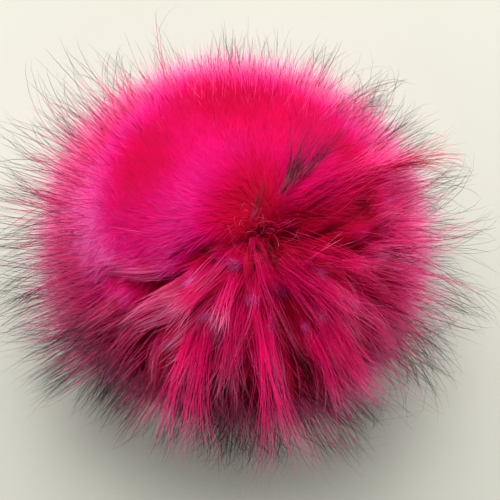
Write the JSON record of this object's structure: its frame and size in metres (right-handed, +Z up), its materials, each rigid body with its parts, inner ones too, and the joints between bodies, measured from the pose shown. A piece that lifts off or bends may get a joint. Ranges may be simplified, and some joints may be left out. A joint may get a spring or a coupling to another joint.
{
  "type": "fur pom pom",
  "caption": "Round long-haired fur pom pom: a dense hot pink ball of underfur with longer, dark-tipped guard hairs standing out of it, parted at a crown on top and resting on a small flat spot.",
  "frame": {"origin": "middle of the small flat spot that the ball rests on, at the level of the table", "axes": "+Z up through the ball, +X to the right and +Y to the top of the picture"},
  "size_m": [0.1524, 0.1525, 0.1057],
  "materials": {
    "dyed_fur": "dense soft underfur dyed hot pink, with glossy guard hairs that pale and then darken towards their tips"
  },
  "bodies": {
    "root": {"fur_ball": "dyed_fur"}
  },
  "joints": []
}
